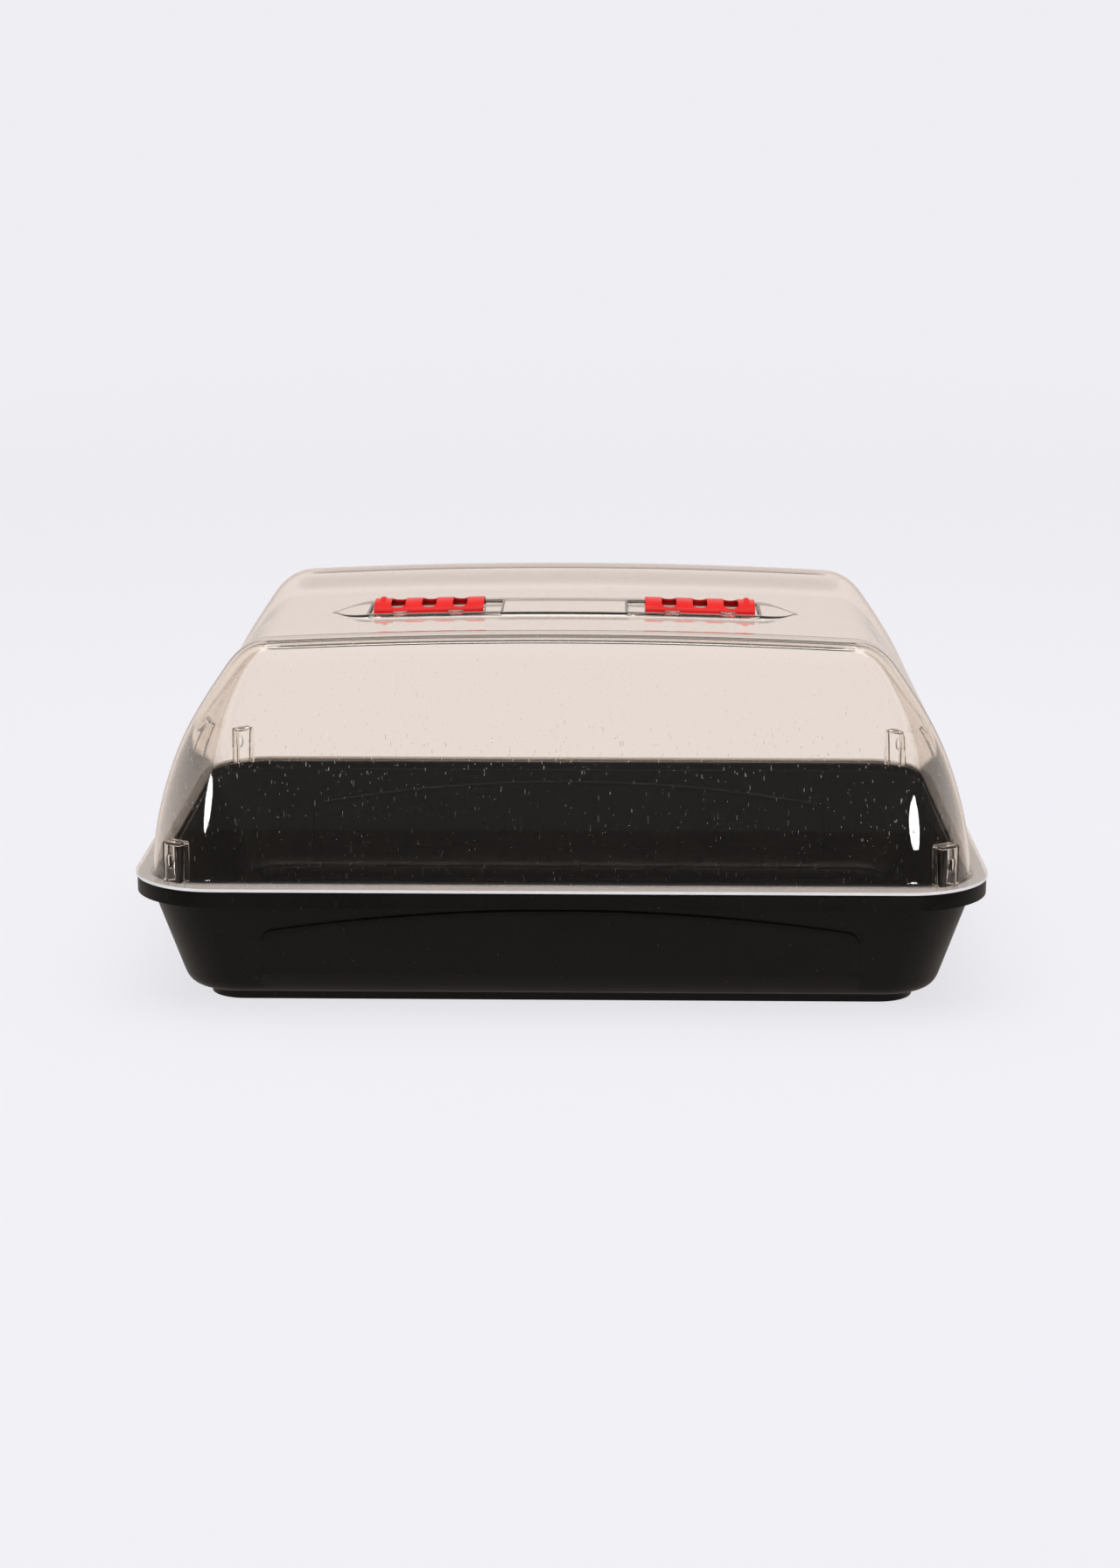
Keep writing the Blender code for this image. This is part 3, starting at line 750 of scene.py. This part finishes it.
def dome_grid(top):
    """The top's columns and rows as shares, finer at each edge of the platform and the wells."""
    slope = [WALL_SLOPE * s for s in SLOPE_SHARES]
    outer = [PLATFORM_SLOPE * s for s in SLOPE_SHARES]
    across = [0, *slot_edges(), top[0]]
    across += [WELL_START - s for s in slope] + [WELL_END + s for s in slope]
    across += [PLATFORM_TIP + s for s in outer] + [PLATFORM_TAPER + 3 * k * MM for k in range(9)]
    straight = top[1] - top[2]
    along = [0, SLOT_HALF, VALLEY_FLAT, VALLEY_SHOULDER, straight]
    along += [WELL_HALF + s for s in slope] + [PLATFORM_HALF + s for s in outer]
    columns = [x / top[0] for x in mirrored(filled(across, LONG_STEP))]
    shares = [y / straight for y in mirrored(filled(along, SHORT_STEP))]
    return columns, row_layout(shares, 14)


def slot_holes(columns, rows, top):
    """The grid's cells that are open as vent slots."""
    holes = set()
    edges = slot_edges()
    for j in range(len(rows) - 1):
        y = (place(0, rows[j], top)[1] + place(0, rows[j + 1], top)[1]) / 2
        for i in range(len(columns) - 1):
            x = abs(columns[i] + columns[i + 1]) / 2 * top[0]
            if abs(y) < SLOT_HALF and any(a < x < b for a, b in zip(edges[::2], edges[1::2])):
                holes.add((i, j))
    return holes


def corner_matrices():
    """For each corner lug, a matrix whose +X points outward from the middle of its outer face, at z = 0."""
    length, width, corner = dome_size(FLANGE_TOP)
    spots = []
    for sign_x in (-1, 1):
        for sign_y in (-1, 1):
            out = Vector((sign_x * math.cos(LUG_ANGLE), sign_y * math.sin(LUG_ANGLE), 0))
            middle = Vector((sign_x * (length - corner), sign_y * (width - corner), 0))
            turn = Matrix.Rotation(math.atan2(out.y, out.x), 4, "Z")
            spots.append(Matrix.Translation(middle + out * LUG_REACH) @ turn)
    return spots


def corner_boxes(name, inset, depth, low, high, edge):
    """One upright box at each corner lug: inset from its outer faces, and depth deep."""
    mesh = bmesh.new()
    half = LUG_WIDTH / 2 - inset
    for spot in corner_matrices():
        add_box(mesh, (-inset - depth, -half, low), (-inset, half, high), spot)
    boxes = new_object(name, mesh)
    round_edges(boxes, edge, 4)
    return boxes


def lug_ovals(name, half_width, half_height, low, high):
    """An oval peg on the outer face of each lug, from low to high outward."""
    mesh = bmesh.new()
    for spot in corner_matrices():
        made = bmesh.ops.create_cone(mesh, cap_ends=True, segments=32, radius1=1, radius2=1, depth=1)
        for vertex in made["verts"]:
            out = low if vertex.co.z < 0 else high
            side, rise = vertex.co.x * half_width, vertex.co.y * half_height
            vertex.co = spot @ Vector((out, side, LUG_HOLE_LEVEL + rise))
    bmesh.ops.recalc_face_normals(mesh, faces=mesh.faces)
    return new_object(name, mesh)


def well_floor(x):
    return CENTRE_FLOOR + VALLEY_DEPTH - top_drop(x, 0)


def well_slope():
    return (well_floor(WELL_START) - well_floor(WELL_END)) / (WELL_END - WELL_START)


def slider_matrix(sign_x, offset=0):
    """A place on the well's floor, level along Y and following its slope along X."""
    x = SLIDER_START + SLIDER_LENGTH / 2 + offset
    turn = Matrix.Rotation(sign_x * math.atan(well_slope()), 4, "Y")
    return Matrix.Translation((sign_x * x, 0, well_floor(x))) @ turn


def tab_boxes():
    """Tabs on the rails of each well, which hold the slider's feet down."""
    mesh = bmesh.new()
    length, width, height = TAB_SIZE
    start = WELL_HALF - TAB_REACH
    for sign_x in (-1, 1):
        for offset in (-TAB_OFFSET, TAB_OFFSET):
            spot = slider_matrix(sign_x, offset)
            for low, high in ((start, start + width), (-start - width, -start)):
                add_box(mesh, (-length / 2, low, TAB_LEVEL), (length / 2, high, TAB_LEVEL + height), spot)
    tabs = new_object("retaining_tabs", mesh)
    round_edges(tabs, TAB_EDGE, 3)
    return tabs


def make_dome(material):
    rings = dome_rings()
    top = rings[-1][0]
    columns, rows = dome_grid(top)
    dome = new_object("dome_shell", loft(columns, rows, rings, dome_shape, slot_holes(columns, rows, top)))
    count = len(dome.data.vertices)
    thicken(dome, DOME_WALL)
    finish_mesh(dome, material)
    cut_ridges(dome, count)
    block = corner_boxes("lug_blocks", 0, LUG_DEPTH, FLANGE_TOP - SINK, LUG_TOP, LUG_EDGE)
    below = FLANGE_BOTTOM - DOME_WALL
    depth, roof = LUG_DEPTH + 2 * SINK, LUG_TOP - LUG_WALL
    hollow = corner_boxes("lug_hollows", LUG_WALL, depth, below, roof, LUG_EDGE / 2)
    collars = lug_ovals("lug_collars", LUG_COLLAR[0], LUG_COLLAR[1], -LUG_WALL / 2, LUG_COLLAR[2])
    round_edges(collars, LUG_COLLAR[2] / 2, 2)
    holes = lug_ovals("lug_holes", *LUG_HOLE, -2 * LUG_WALL, 2 * LUG_WALL)
    tabs = tab_boxes()
    boolean(dome, block, "UNION")
    boolean(dome, hollow, "DIFFERENCE")
    boolean(dome, collars, "UNION")
    boolean(dome, holes, "DIFFERENCE")
    boolean(dome, tabs, "UNION")
    finish_mesh(dome, material, [block, hollow, collars, holes, tabs])
    return finish_flange(dome)


def finish_flange(dome):
    """The flange has a fine frosted face; its outer edge gets a whiter, less clear material, a painted glow
    for the light that the edge gathers.
    """
    dome.data.materials.append(clear_plastic("frosted_flange", 0.72, (1.0, 0.92, 0.865), 0.12))
    # painted glow: the outer edge's whiter, less clear plastic stands in for light gathered in the edge
    dome.data.materials.append(clear_plastic("painted_edge_glow", 0.2, (1.0, 0.98, 0.965), 0.2))
    for face in dome.data.polygons:
        x, y, z = face.center
        if z > FLANGE_TOP + SINK / 5:
            continue
        outer = max(abs(x) / HALF_LENGTH, abs(y) / HALF_WIDTH)
        upright = abs(face.normal.z) < UPRIGHT
        face.material_index = 2 if upright and (outer > OUTER_SHARE or on_corner(x, y)) else 1
    return dome


def on_corner(x, y):
    """True near the flange's outer corner arcs."""
    from_x, from_y = abs(x) - (HALF_LENGTH - FLANGE_CORNER), abs(y) - (HALF_WIDTH - FLANGE_CORNER)
    return from_x > 0 and from_y > 0 and math.hypot(from_x, from_y) > FLANGE_CORNER - DOME_WALL


# ---- Vent sliders ----------------


def slider_section():
    """The slider's cross section as a closed loop, over the arch and back under it."""
    steps = 28
    rise = ARCH_HEIGHT - SLIDER_FOOT
    over, under = [(SLIDER_HALF, 0), (SLIDER_HALF, SLIDER_FOOT)], [(ARCH_HALF - ARCH_WALL, 0)]
    for k in range(steps + 1):
        angle = math.pi / 2 * k / steps
        over.append((ARCH_HALF * math.cos(angle), SLIDER_FOOT + rise * math.sin(angle)))
        inner = (ARCH_HALF - ARCH_WALL) * math.cos(angle)
        under.append((inner, SLIDER_FOOT + (rise - ARCH_WALL) * math.sin(angle)))
    mirror_over = [(-y, z) for y, z in over[:-1]][::-1]
    mirror_under = [(-y, z) for y, z in under[:-1]]
    return over + mirror_over + mirror_under + under[::-1]


def slider_body(name):
    """The arched plate, drawn along X from its cross section."""
    loop = slider_section()
    mesh = bmesh.new()
    ends = []
    for x in (-SLIDER_LENGTH / 2, SLIDER_LENGTH / 2):
        ends.append([mesh.verts.new((x, y, z)) for y, z in loop])
    for k in range(len(loop)):
        after = (k + 1) % len(loop)
        mesh.faces.new((ends[0][k], ends[0][after], ends[1][after], ends[1][k]))
    mesh.faces.new(ends[0][::-1])
    mesh.faces.new(ends[1])
    bmesh.ops.recalc_face_normals(mesh, faces=mesh.faces)
    return new_object(name, mesh)


def slider_windows():
    """Three blocks with rounded corners that cut the slider's windows."""
    mesh = bmesh.new()
    length, width = WINDOW_SIZE
    for k in (-1, 0, 1):
        middle = k * SLOT_PITCH
        low = (middle - length / 2, -width / 2, -ARCH_HEIGHT)
        high = (middle + length / 2, width / 2, 2 * ARCH_HEIGHT)
        add_box(mesh, low, high)
    upright = [e for e in mesh.edges if abs(e.verts[0].co.z - e.verts[1].co.z) > ARCH_HEIGHT]
    bmesh.ops.bevel(mesh, geom=upright, offset=WINDOW_CORNER, segments=6, profile=0.5, affect="EDGES")
    return new_object("slider_windows", mesh)


def arch_level(y):
    """Height of the slider's outer surface over its underside."""
    return SLIDER_FOOT + (ARCH_HEIGHT - SLIDER_FOOT) * math.sqrt(1 - (y / ARCH_HALF) ** 2)


def slider_grip(sign_x):
    """A pointed fin along the arch at the slider's outer end, for a finger."""
    mesh = bmesh.new()
    made = bmesh.ops.create_uvsphere(mesh, u_segments=32, v_segments=40, radius=1)["verts"]
    for vertex in made:
        across = vertex.co.z * GRIP_SIZE[1]
        taper = 1 - abs(vertex.co.z) ** 1.5
        rise = arch_level(across) - GRIP_SINK + vertex.co.y * GRIP_SIZE[2] * taper
        vertex.co = (sign_x * GRIP_PLACE + vertex.co.x * GRIP_SIZE[0], across, rise)
    bmesh.ops.reverse_faces(mesh, faces=mesh.faces)  # swapping Y and Z turned the sphere inside out
    return new_object("slider_grip", mesh)


def make_slider(name, sign_x, material):
    slider = slider_body(name)
    grip = slider_grip(sign_x)
    windows = slider_windows()
    boolean(slider, grip, "UNION")
    boolean(slider, windows, "DIFFERENCE")
    round_edges(slider, SLIDER_EDGE, 2)
    finish_mesh(slider, material, [grip, windows])
    lift = Matrix.Translation((0, 0, GAP))
    slider.data.transform(slider_matrix(sign_x) @ lift)
    return slider


# ---- Studio ----------------


def seen_rays(tree):
    """Three values that are 1 for one kind of ray each: camera rays, mirrored ones, and those that
    went straight through clear things.
    """
    path = tree.nodes.new("ShaderNodeLightPath")
    passed = path.outputs["Is Transmission Ray"]
    bounced = join(tree, "MINIMUM", path.outputs["Glossy Depth"], 1)
    straight = join(tree, "MULTIPLY", passed, join(tree, "SUBTRACT", 1, bounced))
    inner = join(tree, "MULTIPLY", passed, bounced)
    mirrored_ray = join(tree, "MAXIMUM", path.outputs["Is Glossy Ray"], inner)
    return path.outputs["Is Camera Ray"], mirrored_ray, straight


def add_glow(tree, surface, ray, colour, strength=None):
    """Lays an emission over surface for the rays that the value ray picks out."""
    glow = tree.nodes.new("ShaderNodeEmission")
    glow.inputs["Color"].default_value = (*colour, 1)
    if strength:
        tree.links.new(strength, glow.inputs["Strength"])
    return mix_shaders(tree, ray, surface, glow.outputs[0])


def studio_material(name, colour, shown):
    """A pale diffuse surface that shows the plain background colour, and keeps part of the shadows.

    Mirrors and clear things see it too, up to the dark front part of the room.
    """
    made = bpy.data.materials.new(name)
    made.use_nodes = True
    tree = made.node_tree
    tree.nodes.remove(tree.nodes["Principled BSDF"])
    lit = tree.nodes.new("ShaderNodeBsdfDiffuse")
    lit.inputs["Color"].default_value = (*colour, 1)
    spot = tree.nodes.new("ShaderNodeSeparateXYZ")
    position = tree.nodes.new("ShaderNodeNewGeometry").outputs["Position"]
    tree.links.new(position, spot.inputs[0])
    front = slope(tree, spot.outputs["Y"], *DARK_FRONT, ROOM_LIGHT, 1)
    high = slope(tree, spot.outputs["Z"], *DARK_TOP, 1, ROOM_LIGHT)
    above = slope(tree, spot.outputs["Z"], *DARK_ABOVE, 1, ROOM_LIGHT)
    camera, mirrored_ray, straight = seen_rays(tree)
    far = tree.nodes.new("ShaderNodeVectorMath")
    far.operation = "LENGTH"
    tree.links.new(position, far.inputs[0])
    plain = join(tree, "MULTIPLY", camera, slope(tree, far.outputs["Value"], 1, 4, shown, 1))
    surface = add_glow(tree, lit.outputs[0], plain, BACKGROUND)
    surface = add_glow(tree, surface, mirrored_ray, REFLECTED, join(tree, "MULTIPLY", front, high))
    surface = add_glow(tree, surface, straight, THROUGH, above)
    tree.links.new(surface, tree.nodes["Material Output"].inputs["Surface"])
    return made


def make_sweep():
    """The floor, which curves up into a backdrop."""
    mesh = bmesh.new()
    half, front, bend, radius, height = 9, -8, 3.5, 1.5, 6
    profile = [(front, 0), (bend, 0)]
    for k in range(1, 17):
        angle = math.pi / 2 * k / 16
        profile.append((bend + radius * math.sin(angle), radius - radius * math.cos(angle)))
    profile.append((bend + radius, height))
    lines = [[mesh.verts.new((x, y, z)) for y, z in profile] for x in (-half, half)]
    for k in range(len(profile) - 1):
        mesh.faces.new((lines[0][k], lines[1][k], lines[1][k + 1], lines[0][k + 1]))
    sweep = new_object("studio_sweep", mesh)
    sweep.data.materials.append(studio_material("studio_white", BACKGROUND, 0.85))
    sweep.data.shade_smooth()


def area_light(name, place_at, aim, size, power):
    data = bpy.data.lights.new(name, "AREA")
    data.shape = "RECTANGLE"
    data.size, data.size_y = size
    data.energy = power
    light = bpy.data.objects.new(name, data)
    light.location = place_at
    light.rotation_euler = (Vector(aim) - Vector(place_at)).to_track_quat("-Z", "Y").to_euler()
    bpy.context.scene.collection.objects.link(light)
    return light


def make_lights():
    overhead = area_light("overhead", (0, -0.2, 3.2), (0, 0, 0), (3.2, 3.2), 95)
    overhead.visible_glossy = False
    for name, place_at, size, power in SOFT_LIGHTS:
        soft = area_light(name, place_at, (0, -0.19, 0.14), size, power)
        soft.data.shape = "ELLIPSE"


def make_world():
    """Even light. The camera and clear things see the plain background, and mirrors a dim room."""
    world = bpy.data.worlds.new("studio")
    bpy.context.scene.world = world
    world.use_nodes = True
    tree = world.node_tree
    light = tree.nodes["Background"]
    light.inputs["Color"].default_value = (0.92, 0.95, 1, 1)
    light.inputs["Strength"].default_value = 0.5
    height = tree.nodes.new("ShaderNodeSeparateXYZ")
    tree.links.new(tree.nodes.new("ShaderNodeTexCoord").outputs["Generated"], height.inputs[0])
    room = slope(tree, height.outputs["Z"], 0.3, 0.95, ROOM_LIGHT, 0.5)
    room = join(tree, "MAXIMUM", room, slope(tree, height.outputs["Y"], -0.6, 0.1, ROOM_LIGHT, 0.7))
    beyond = slope(tree, height.outputs["Z"], 0.15, 0.5, 1, 0.4)
    camera, mirrored_ray, straight = seen_rays(tree)
    surface = light.outputs[0]
    layers = ((mirrored_ray, ROOM_COLOUR, room), (straight, THROUGH, beyond), (camera, BACKGROUND, None))
    for ray, colour, strength in layers:
        shown = tree.nodes.new("ShaderNodeBackground")
        shown.inputs["Color"].default_value = (*colour, 1)
        if strength:
            tree.links.new(strength, shown.inputs["Strength"])
        surface = mix_shaders(tree, ray, surface, shown.outputs[0])
    tree.links.new(surface, tree.nodes["World Output"].inputs["Surface"])


def make_camera():
    data = bpy.data.cameras.new("camera")
    data.sensor_fit = "AUTO"
    data.sensor_width = 36
    data.lens = LENS
    data.clip_start = 0.01
    data.clip_end = 50
    camera = bpy.data.objects.new("camera", data)
    camera.location = CAMERA_PLACE
    camera.rotation_euler = (math.pi / 2 - CAMERA_DOWN, 0, CAMERA_LEFT)
    bpy.context.scene.collection.objects.link(camera)
    bpy.context.scene.camera = camera


# ---- The whole scene ----------------


def attach(piece, body, node):
    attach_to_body(piece, body)
    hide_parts(node)


def main():
    attach(make_tray(black_plastic()), "tray", "tray")
    attach(make_dome(clear_plastic()), "dome", "dome")
    red = red_plastic()
    for side, sign_x in (("left", -1), ("right", 1)):
        slider = make_slider(side + "_slider", sign_x, red)
        attach(slider, side + "_vent", side + "_vent_slider")
    make_sweep()
    make_lights()
    make_world()
    make_camera()
    bpy.context.scene.view_settings.view_transform = "Standard"


main()
